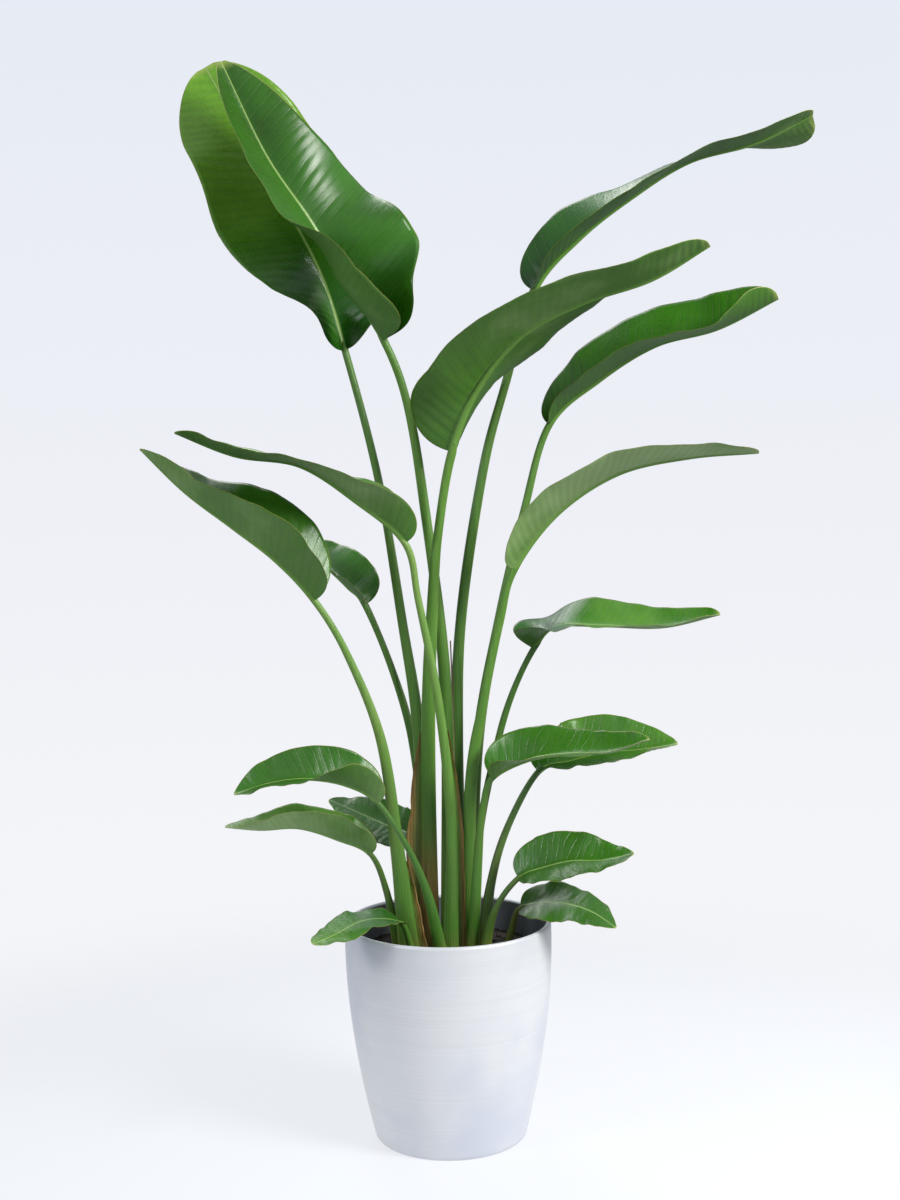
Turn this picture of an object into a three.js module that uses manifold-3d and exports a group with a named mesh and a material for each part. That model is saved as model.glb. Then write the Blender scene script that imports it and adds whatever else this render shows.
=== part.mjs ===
// Potted bird of paradise: a tapered round pot, potting soil, and eighteen leaves in three clumps.
// Millimetres, +Z up. The origin is the centre of the pot's flat underside, and -Y is the front.
//
// A leaf is a stalk and a blade. Both are lofts: rings of points joined along a smooth curve.
// The blade's rib is the curve that its two halves hang on. At each place along the rib a half leaves it at
// an angle of `lift` degrees above flat, and bends on by `curl` degrees on its way out to the margin.
import * as THREE from "three";
import { mergeVertices } from "three/addons/utils/BufferGeometryUtils.js";
import Module from "manifold-3d";

const wasm = await Module();
wasm.setup();

// Pot
const RIM_RADIUS = 150;
const BASE_RADIUS = 110;
const POT_HEIGHT = 316;
const POT_SEGMENTS = 48;
const BELLY = new THREE.Vector2(155, 176); // the point that the side's curve bends towards
const WALL = 7;
const FLOOR = 10;
const BASE_EDGE = 3; // chamfer around the underside

// Soil
const SOIL_EDGE = 268; // height where the soil meets the pot
const SOIL_RISE = 8; // how much higher it is in the middle
const GAP = 0.4; // clearance between pieces that touch
const PLANTED = 30; // how deep the stalks go into the soil

// Leaves
const STALK_SIDES = 8;
const STALK_STEPS = 10;
const BLADE_STEPS = 12;
const BASE_CROWD = 1.3; // more than 1 brings the rings closer together at the blade's foot
const BLADE_END = 0.99; // share of the rib where the blade stops
const HALF_STEPS = 3; // points from the rib to each margin
const BLADE_THICK = 1.6;
const RIB_DEPTH = 0.75; // the rib's depth at the blade's foot, as a share of the stalk's radius
const FOOT_SHARE = 2.2; // how quickly a stalk narrows above its sheath
const TAPER = [0.38, 0.62]; // how a blade's outline draws in towards its foot and towards its tip

const LEAVES = {
  a: {
    stalk: [[-24, 26, 276], [-37, 38, 575], [-60, 52, 750], [-92, 64, 960], [-138, 75, 1150]],
    rib: [[-171, 69, 1260], [-223, 65, 1363], [-280, 66, 1464], [-336, 90, 1566]],
    foot: [14, 8],
    top: 6,
    half: 114,
    taper: [0.38, 0.48],
    roll: [-80, -85, -80],
    left: { lift: [65, 35, 12, 28, 20], curl: [0, 0, 10, 10, 0] },
    right: { lift: [60, 10, -20, -25, -20] },
  },
  b: {
    stalk: [[2, 0, 276], [3, 8, 650], [-25, 12, 930], [-47, 10, 1070], [-78, 5, 1157]],
    rib: [[-129, -3, 1240], [-179, -5, 1326], [-241, 5, 1421], [-304, 20, 1556]],
    foot: [13, 8],
    top: 6.5,
    half: 120,
    taper: [0.25, 0.62],
    roll: [-60, -60],
    left: { lift: [70, 35, 30, 42, 38, 49, 50, 47, 45], curl: [20, 70, 70, 40, 20, 10, 8, 8, 10] },
    right: { lift: [95, 86, 58, 54, 20, 18, 25, 25, 25], curl: [0, 0, -30, -45, -45, -45, -35, -30, -30] },
  },
  c: {
    stalk: [[17, 40, 276], [16, 42, 575], [26, 46, 760], [61, 52, 970], [95, 56, 1093], [139, 53, 1230]],
    rib: [[204, 46, 1303], [283, 55, 1363], [368, 60, 1413], [466, 60, 1438], [547, 50, 1474]],
    foot: [13, 8],
    top: 7,
    half: 82,
    taper: [0.36, 0.32],
    roll: [20, 20, 20, 5, -15, -20],
    left: { lift: [65, 30, 0, 8, 22, -20] },
    right: { lift: [22, 31, 26, 6, -12, -16] },
  },
  d: {
    stalk: [[-28, 2, 276], [-25, -5, 595], [-15, -15, 785], [-5, -20, 885], [16, -30, 995]],
    rib: [[54, -53, 1083], [113, -81, 1151], [198, -104, 1193], [289, -121, 1220], [366, -140, 1262]],
    foot: [15, 8],
    top: 6.5,
    half: 118,
    taper: [0.39, 0.45],
    roll: [-65, -55, -20, -20, -20, -10],
    left: { lift: [100, 72, 20, 24, 40, 40] },
    right: { lift: [0, -36, -8, -10, -8, 5] },
  },
  e: {
    stalk: [[28, 18, 276], [45, 22, 560], [80, 30, 750], [120, 40, 910], [159, 45, 1035]],
    rib: [[231, 37, 1098], [313, 30, 1146], [403, 25, 1168], [488, 10, 1208]],
    foot: [13, 8],
    top: 6,
    half: 82,
    taper: [0.45, 0.38],
    roll: [10, 10],
    left: { lift: [50, 42, 36, 38, 48] },
    right: { lift: [30, 25, 15, 15, 50] },
  },
  f: {
    stalk: [[26, -20, 276], [35, -25, 520], [55, -30, 640], [80, -35, 755], [101, -40, 828]],
    rib: [[162, -53, 907], [247, -67, 961], [344, -79, 981], [440, -90, 986]],
    foot: [13, 8],
    top: 6,
    half: 80,
    taper: [0.38, 0.5],
    roll: [-15, -15],
    left: { lift: [35, 30, 28, 25, 30] },
    right: { lift: [8, 8, 5, 0, 5] },
  },
  g: {
    stalk: [[37, -3, 276], [45, -1, 430], [72, 5, 560], [96, 9, 640], [130, 10, 710]],
    rib: [[162, 10, 743], [235, 5, 743], [318, 0, 740], [400, -5, 757]],
    foot: [9, 6],
    top: 5,
    half: 60,
    taper: [0.22, 0.5],
    roll: [0, 10, 10, 10],
    left: { lift: [80, 5, 28, 28, 30, 40] },
    right: { lift: [85, 8, 15, 15, 20, 30] },
  },
  h: {
    stalk: [[34, -46, 276], [44, -56, 430], [52, -58, 495], [66, -60, 535]],
    rib: [[118, -63, 561], [176, -66, 569], [234, -69, 571], [288, -72, 588]],
    foot: [10, 7],
    top: 5,
    half: 55,
    roll: [10, 10],
    left: { lift: [85, 45, 25, 30, 40] },
    right: { lift: [60, 20, 18, 20, 30] },
  },
  i: {
    stalk: [[49, -30, 276], [62, -16, 370], [88, 0, 450], [135, 10, 530]],
    rib: [[182, 10, 545], [232, 6, 557], [284, -2, 562], [336, -12, 571]],
    foot: [11, 7],
    top: 5,
    half: 62,
    roll: [10, 10],
    left: { lift: [60, 60, 55, 50, 40] },
    right: { lift: [20, 10, 5, 10, 20] },
  },
  j: {
    stalk: [[50, -61, 276], [66, -65, 345], [100, -68, 392]],
    rib: [[136, -74, 408], [176, -80, 418], [219, -86, 420], [262, -92, 430]],
    foot: [9, 6],
    top: 4.5,
    half: 50,
    roll: [10, 10],
    left: { lift: [60, 50, 45, 35, 20] },
    right: { lift: [0, -4, -4, 0, 10] },
  },
  k: {
    stalk: [[84, -20, 276], [92, -26, 308], [104, -34, 340]],
    rib: [[138, -50, 352], [172, -63, 352], [205, -76, 343], [236, -90, 324]],
    foot: [8, 6],
    top: 4.5,
    half: 42,
    roll: [10, 10],
    left: { lift: [40, 25, 15, 10, 0] },
    right: { lift: [-10, -15, -15, -10, 0] },
  },
  l: {
    stalk: [[5, -40, 276], [8, -34, 470], [-8, -34, 640], [-34, -36, 785], [-52, -40, 868]],
    rib: [[-120, -51, 929], [-197, -59, 979], [-287, -60, 994], [-371, -60, 1027]],
    foot: [13, 8],
    top: 5.5,
    half: 65,
    taper: [0.38, 0.54],
    roll: [0, 0],
    left: { lift: [70, 40, 12, 8, 20, 22] },
    right: { lift: [65, 48, 10, 8, 18, 22] },
  },
  m: {
    stalk: [[-55, -25, 276], [-70, -28, 425], [-90, -40, 585], [-135, -50, 710], [-180, -60, 790]],
    rib: [[-232, -66, 848], [-292, -74, 896], [-355, -80, 945], [-415, -85, 1005]],
    foot: [17, 8],
    top: 5.5,
    half: 90,
    roll: [0, 0],
    left: { lift: [40, 36, 30, 24, 28] },
    right: { lift: [62, 64, 54, 28, 20] },
  },
  n: {
    stalk: [[-26, 66, 276], [-33, 70, 430], [-50, 72, 575], [-78, 64, 680], [-115, 55, 775]],
    rib: [[-140, 80, 800], [-170, 115, 825], [-205, 165, 845], [-245, 215, 855]],
    foot: [11, 7],
    top: 5,
    half: 52,
    roll: [0, 0],
    left: { lift: [40, 40] },
    right: { lift: [40, 40] },
  },
  o: {
    stalk: [[-8, -64, 276], [-26, -69, 365], [-52, -78, 435], [-95, -88, 507]],
    rib: [[-137, -94, 534], [-190, -102, 545], [-243, -109, 541], [-293, -116, 527]],
    foot: [12, 7],
    top: 4.5,
    half: 50,
    roll: [-10, -10],
    left: { lift: [80, 62, 20, 10, 15] },
    right: { lift: [55, 62, 58, 50, 40] },
  },
  p: {
    stalk: [[-72, -10, 276], [-88, -20, 365], [-110, -30, 422]],
    rib: [[-155, -37, 446], [-210, -45, 465], [-264, -54, 465], [-314, -62, 471]],
    foot: [9, 6],
    top: 4.5,
    half: 46,
    roll: [-10, -10],
    left: { lift: [75, 68, 60, 48, 30] },
    right: { lift: [60, 40, 30, 20, 10] },
  },
  q: {
    stalk: [[-54, 64, 276], [-53, 70, 360], [-51, 78, 420]],
    rib: [[-80, 86, 434], [-112, 92, 448], [-145, 98, 462], [-178, 103, 476]],
    foot: [9, 6],
    top: 4.5,
    half: 48,
    roll: [-10, -10],
    left: { lift: [0, -15, -12, -5, 0] },
    right: { lift: [40, 30, 24, 15, 10] },
  },
  r: {
    stalk: [[-50, -62, 276], [-56, -68, 305], [-66, -76, 332]],
    rib: [[-94, -98, 345], [-124, -122, 347], [-154, -146, 337], [-184, -168, 330]],
    foot: [7, 5],
    top: 4,
    half: 35,
    taper: [0.38, 0.48],
    roll: [-10, -10],
    left: { lift: [20, 8, 5, 5] },
    right: { lift: [20, 0, 0, 0] },
  },
};
const NEW_LEAF = {
  stalk: [[5, 21, 276], [11, 24, 500], [12, 26, 630], [10, 28, 722]],
  rib: [],
  foot: [6, 5],
  top: 1,
};

// A smooth value at share s along a list: the same curve that THREE.CatmullRomCurve3 draws through points.
function along(values, s) {
  const ends = [2 * values[0] - values[1], ...values, 2 * values.at(-1) - values.at(-2)];
  const place = Math.min(Math.max(s, 0), 1) * (values.length - 1);
  const i = Math.min(Math.floor(place), values.length - 2);
  const t = place - i;
  const [a, b, c, d] = ends.slice(i, i + 4);
  return b + 0.5 * t * (c - a + t * (2 * a - 5 * b + 4 * c - d + t * (3 * (b - c) + d - a)));
}

// One curve runs up the stalk and on along the rib. `join` is the share of it where the stalk ends.
function leafCurve({ stalk, rib }) {
  const corners = [...stalk, ...rib].map((p) => new THREE.Vector3(...p));
  const join = (stalk.length - 1) / (corners.length - 1);
  return { curve: new THREE.CatmullRomCurve3(corners, false, "catmullrom", 0.5), join };
}

// Joins rings of points into one closed surface. A ring runs out along one face and back along the other,
// so each end is closed by strips between opposite points. Both faces are split along the same diagonals,
// which keeps a thin twisted blade equally thick all over.
function loft(rings) {
  const n = rings[0].length;
  const position = rings.flat().flatMap((p) => [p.x, p.y, p.z]);
  const index = [];
  for (let r = 0; r + 1 < rings.length; r++) {
    for (let i = 0; i < n; i++) {
      const a = r * n + i;
      const b = r * n + ((i + 1) % n);
      if (i < n / 2) index.push(a, b, b + n, a, b + n, a + n);
      else index.push(a, b, a + n, b, b + n, a + n);
    }
  }
  const last = (rings.length - 1) * n;
  for (let i = 0; i + 1 < n / 2; i++) {
    const [a, b, c, d] = [i, i + 1, n - 2 - i, n - 1 - i];
    index.push(a, d, c, a, c, b);
    index.push(last + a, last + c, last + d, last + a, last + b, last + c);
  }
  const geometry = new THREE.BufferGeometry();
  geometry.setAttribute("position", new THREE.Float32BufferAttribute(position, 3));
  geometry.setIndex(index);
  return geometry;
}

// A stalk: broad and flat in its sheath at the soil, round where it meets the blade.
function stalkGeometry(leaf, grow = 0) {
  const { foot, top } = leaf;
  const { curve, join } = leafCurve(leaf);
  const rings = [];
  const down = curve.getTangent(0).multiplyScalar(-PLANTED);
  for (let step = -1; step <= STALK_STEPS; step++) {
    const s = Math.max(step, 0) / STALK_STEPS;
    const centre = curve.getPoint(s * join);
    if (step < 0) centre.add(down);
    const tangent = curve.getTangent(s * join);
    const side = new THREE.Vector3(tangent.z, 0, -tangent.x).normalize();
    const front = new THREE.Vector3().crossVectors(side, tangent).normalize();
    const narrow = (1 - s) ** FOOT_SHARE;
    const [wide, deep] = foot.map((size) => top + (size - top) * narrow + grow);
    const ring = [];
    for (let i = 0; i < STALK_SIDES; i++) {
      const angle = Math.PI - (2 * Math.PI * (i + 0.5)) / STALK_SIDES;
      const point = centre.clone().addScaledVector(side, wide * Math.cos(angle));
      ring.push(point.addScaledVector(front, deep * Math.sin(angle)));
    }
    rings.push(ring);
  }
  return loft(rings);
}

// The blade's outline: half its width at share s of the rib, as a share of the widest.
function outline([foot, tip], s) {
  const widest = foot / (foot + tip);
  return (s / widest) ** foot * ((1 - s) / (1 - widest)) ** tip;
}

// Directions at a place on the leaf's curve: along the rib, across the blade and out of its upper face.
function bladeFrame(curve, place, roll) {
  const tangent = curve.getTangent(place);
  const upright = new THREE.Vector3(0, 0, 1).addScaledVector(tangent, -tangent.z).normalize();
  const level = new THREE.Vector3().crossVectors(tangent, upright);
  const normal = upright.multiplyScalar(Math.cos(roll)).addScaledVector(level, Math.sin(roll));
  return { tangent, normal, across: new THREE.Vector3().crossVectors(tangent, normal) };
}

// One half of a blade at one place, from the rib out to the margin: points on its upper and under faces.
function halfSection(centre, { across, normal }, sign, lift, curl, width, ribThick) {
  const point = centre.clone();
  const outward = across.clone().multiplyScalar(sign);
  const upper = [centre];
  const under = [centre.clone().addScaledVector(normal, -ribThick)];
  for (let i = 1; i <= HALF_STEPS; i++) {
    const angle = lift + (curl * (i - 0.5)) / HALF_STEPS;
    const [cos, sin] = [Math.cos(angle), Math.sin(angle)];
    point.addScaledVector(outward, (width / HALF_STEPS) * cos);
    point.addScaledVector(normal, (width / HALF_STEPS) * sin);
    upper.push(point.clone());
    const below = point.clone().addScaledVector(normal, -BLADE_THICK * cos);
    under.push(below.addScaledVector(outward, BLADE_THICK * sin));
  }
  return { upper, under };
}

// A blade: two halves hung on the rib, from the end of the stalk to just short of the curve's end.
function bladeGeometry({ roll, half, left, right, top, taper = TAPER, ...line }) {
  const { curve, join } = leafCurve(line);
  const rings = [];
  for (let step = 0; step <= BLADE_STEPS; step++) {
    const s = BLADE_END * (step / BLADE_STEPS) ** BASE_CROWD;
    const place = join + (1 - join) * s;
    const frame = bladeFrame(curve, place, THREE.MathUtils.degToRad(along(roll, s)));
    const centre = curve.getPoint(place).addScaledVector(frame.tangent, step ? 0 : GAP);
    const width = step ? half * outline(taper, s) : top;
    const ribThick = BLADE_THICK + RIB_DEPTH * top * (1 - s);
    const [a, b] = [left, right].map(({ lift, curl = [0, 0] }, side) => {
      const angles = [lift, curl].map((list) => THREE.MathUtils.degToRad(along(list, s)));
      return halfSection(centre, frame, side ? 1 : -1, ...angles, width, ribThick);
    });
    rings.push([...a.upper.reverse(), ...b.upper.slice(1), ...b.under.reverse(), ...a.under.slice(1)]);
  }
  return loft(rings);
}

function potProfile(inset) {
  const side = new THREE.QuadraticBezierCurve(
    new THREE.Vector2(BASE_RADIUS - inset, 0),
    new THREE.Vector2(BELLY.x - inset, BELLY.y),
    new THREE.Vector2(RIM_RADIUS - inset, POT_HEIGHT),
  );
  return side.getPoints(8);
}

// Radius of the pot's side curve at a height, found between the profile's points.
function radiusAt(profile, height) {
  const i = profile.findIndex((p) => p.y >= height);
  const [a, b] = [profile[i - 1], profile[i]];
  return a.x + ((b.x - a.x) * (height - a.y)) / (b.y - a.y);
}

function lathe(points, segments) {
  const geometry = new THREE.LatheGeometry(points, segments);
  geometry.rotateX(Math.PI / 2);
  return geometry;
}

function potGeometry() {
  const outer = potProfile(0);
  const inner = potProfile(WALL).filter((p) => p.y > FLOOR);
  return lathe(
    [
      new THREE.Vector2(0, 0),
      new THREE.Vector2(BASE_RADIUS - BASE_EDGE, 0),
      new THREE.Vector2(radiusAt(outer, BASE_EDGE), BASE_EDGE),
      ...outer.slice(1),
      ...inner.reverse(),
      new THREE.Vector2(radiusAt(potProfile(WALL), FLOOR), FLOOR),
      new THREE.Vector2(0, FLOOR),
    ],
    POT_SEGMENTS,
  );
}

function soilGeometry() {
  const inner = potProfile(WALL + GAP);
  const edge = inner.filter((p) => p.y > FLOOR + GAP && p.y < SOIL_EDGE);
  return lathe(
    [
      new THREE.Vector2(0, FLOOR + GAP),
      new THREE.Vector2(radiusAt(inner, FLOOR + GAP) - GAP, FLOOR + GAP),
      ...edge,
      new THREE.Vector2(radiusAt(inner, SOIL_EDGE), SOIL_EDGE),
      new THREE.Vector2(RIM_RADIUS * 0.6, SOIL_EDGE + SOIL_RISE),
      new THREE.Vector2(0, SOIL_EDGE + SOIL_RISE),
    ],
    POT_SEGMENTS,
  );
}

function toSolid(geometry) {
  const bare = geometry.clone();
  bare.deleteAttribute("normal");
  bare.deleteAttribute("uv");
  const merged = mergeVertices(bare, 1e-3);
  return new wasm.Manifold(
    new wasm.Mesh({
      numProp: 3,
      vertProperties: merged.attributes.position.array,
      triVerts: new Uint32Array(merged.index.array),
    }),
  );
}

function toGeometry(solid) {
  const mesh = solid.getMesh();
  const geometry = new THREE.BufferGeometry();
  geometry.setAttribute("position", new THREE.Float32BufferAttribute(mesh.vertProperties, 3));
  geometry.setIndex(new THREE.BufferAttribute(mesh.triVerts, 1));
  return geometry;
}

const material = {
  pot: new THREE.MeshStandardMaterial({ color: 0xd9dbe0, roughness: 0.55, metalness: 0.0 }),
  soil: new THREE.MeshStandardMaterial({ color: 0x2a211b, roughness: 0.95, metalness: 0.0 }),
  stalk: new THREE.MeshStandardMaterial({ color: 0x3f7a24, roughness: 0.5, metalness: 0.0 }),
  newLeaf: new THREE.MeshStandardMaterial({ color: 0x5b3a22, roughness: 0.7, metalness: 0.0 }),
  blade: new THREE.MeshStandardMaterial({ color: 0x1f6a1a, roughness: 0.35, metalness: 0.0 }),
};

const plant = new THREE.Group();

function add(name, geometry, finish) {
  const mesh = new THREE.Mesh(geometry, finish);
  mesh.name = name;
  plant.add(mesh);
}

let soil = toSolid(soilGeometry());
for (const [name, leaf] of Object.entries(LEAVES)) {
  add(`stalk_${name}`, stalkGeometry(leaf), material.stalk);
  add(`blade_${name}`, bladeGeometry(leaf), material.blade);
  soil = soil.subtract(toSolid(stalkGeometry(leaf, GAP)));
}
add("new_leaf", stalkGeometry(NEW_LEAF), material.newLeaf);
soil = soil.subtract(toSolid(stalkGeometry(NEW_LEAF, GAP)));
add("soil", toGeometry(soil), material.soil);
add("pot", potGeometry(), material.pot);

export default plant;
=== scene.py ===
"""Potted bird of paradise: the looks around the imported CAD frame.

The frame is in metres with +Z up, and -Y is the front. The leaf table repeats the part's own, in
millimetres. Each CAD piece is replaced by a finely divided one on the same curve, so nothing changes size
or place.
"""

import math

import bmesh
import bpy
import numpy as np
from mathutils import Matrix, Vector


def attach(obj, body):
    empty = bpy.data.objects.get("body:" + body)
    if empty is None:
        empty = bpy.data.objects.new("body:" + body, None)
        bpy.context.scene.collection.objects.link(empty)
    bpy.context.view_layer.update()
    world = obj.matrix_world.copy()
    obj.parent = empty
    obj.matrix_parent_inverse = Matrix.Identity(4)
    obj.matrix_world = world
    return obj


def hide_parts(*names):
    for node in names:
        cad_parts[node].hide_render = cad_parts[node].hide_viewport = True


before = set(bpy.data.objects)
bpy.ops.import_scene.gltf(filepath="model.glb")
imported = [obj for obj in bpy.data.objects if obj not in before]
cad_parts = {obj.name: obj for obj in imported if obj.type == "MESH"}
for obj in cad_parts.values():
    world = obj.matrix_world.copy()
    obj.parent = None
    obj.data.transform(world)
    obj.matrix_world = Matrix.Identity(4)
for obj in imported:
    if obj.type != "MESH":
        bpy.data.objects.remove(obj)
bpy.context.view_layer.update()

MM = 0.001
UP = np.array([0.0, 0.0, 1.0])

# Pot and soil, as in the part
RIM_RADIUS = 150
BASE_RADIUS = 110
POT_HEIGHT = 316
BELLY = (155, 176)
WALL = 7
FLOOR = 10
BASE_EDGE = 3
SOIL_EDGE = 268
SOIL_RISE = 8
GAP = 0.4
PLANTED = 30

# Details of pot and soil that the part leaves out, in millimetres
RECESS = 4  # depth of the recess under the pot's base
RECESS_SIDE = (22, 16)  # top and foot of its sloping side, in from the edge of the base
LIP = 4  # how far below the rim the lip's rounding starts
CORNER = 4  # between the inside of the wall and the pot's floor
MOUND_SLOPE = (90, 140)  # radii between which the mound of soil falls off
CLODS = 1.2  # height of the clods
SOIL_SUNK = 1.5  # how far the clods' middle lies below the solid's surface, so that few rise above it
SOIL_GRAIN = 0.9
CRUMBS = 320
CRUMB_SIZE = (1.5, 4.2)
CRUMB_MARGIN = 9  # clear of the pot's wall

# Leaves, as in the part
FOOT_SHARE = 2.2
TAPER = (0.38, 0.62)  # how the outline draws in towards the blade's foot and towards its tip

# Fineness of the meshes
POT_SEGMENTS = 192
POT_LEVELS = 60  # up each face of the wall
SOIL_CIRCLES = 60
SOIL_LEVELS = 12
STALK_RINGS = 70
STALK_SIDES = 20
SHEATH_GRID = (44, 7)  # up the sheath's edge, and out from the stalk
BLADE_RINGS = (60, 200)  # along a blade: so many, and so many more for each metre
RIB_COLUMNS = (0, 0.3, 0.6, 0.85, 1)  # across the thick rib, as shares of its radius
HALF_COLUMNS = 15  # from the rib's side to the margin

# Leaf anatomy, in millimetres
LAMINA = 0.9  # thickness of the blade between its veins
EDGE = 0.25  # and at its margin
CREASE = 4  # how far from the rib the fold is rounded
VEIN_SPACING = 14  # between the side veins that show as pale lines
VEIN_SWEEP = 0.35  # how much the side veins lean towards the tip
RIPPLE = 0.6  # height of the ridges along the side veins
FINE_VEINS = 7  # between one pale side vein and the next
TYPICAL_HALF = 115  # half width of a blade that these sizes suit; smaller blades have finer veins
STALK_RIDGES = 22  # around a stalk

# Where the leaf table says nothing
WAVE = 3  # how far the margin waves, in millimetres
YELLOW = (0.1, 0.1)  # how yellow the blade is, from foot to tip
BROWN = 60  # up to what height above the soil the stalk's foot is dry and brown

# Stage
FLOOR_RADIUS = 1600
FLOOR_DEPTH = 6

# Backdrop colours as the camera sees them: below the horizon, at it and above it
BACKDROP_LOW = (0.90, 0.91, 0.94)
BACKDROP_MIDDLE = (0.86, 0.87, 0.925)
BACKDROP_HIGH = (0.79, 0.83, 0.905)

# Light tent colours: low down, above the horizon and overhead
TENT_LOW = (0.25, 0.26, 0.28)
TENT_MIDDLE = (0.46, 0.49, 0.54)
TENT_HIGH = (0.50, 0.53, 0.56)

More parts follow.
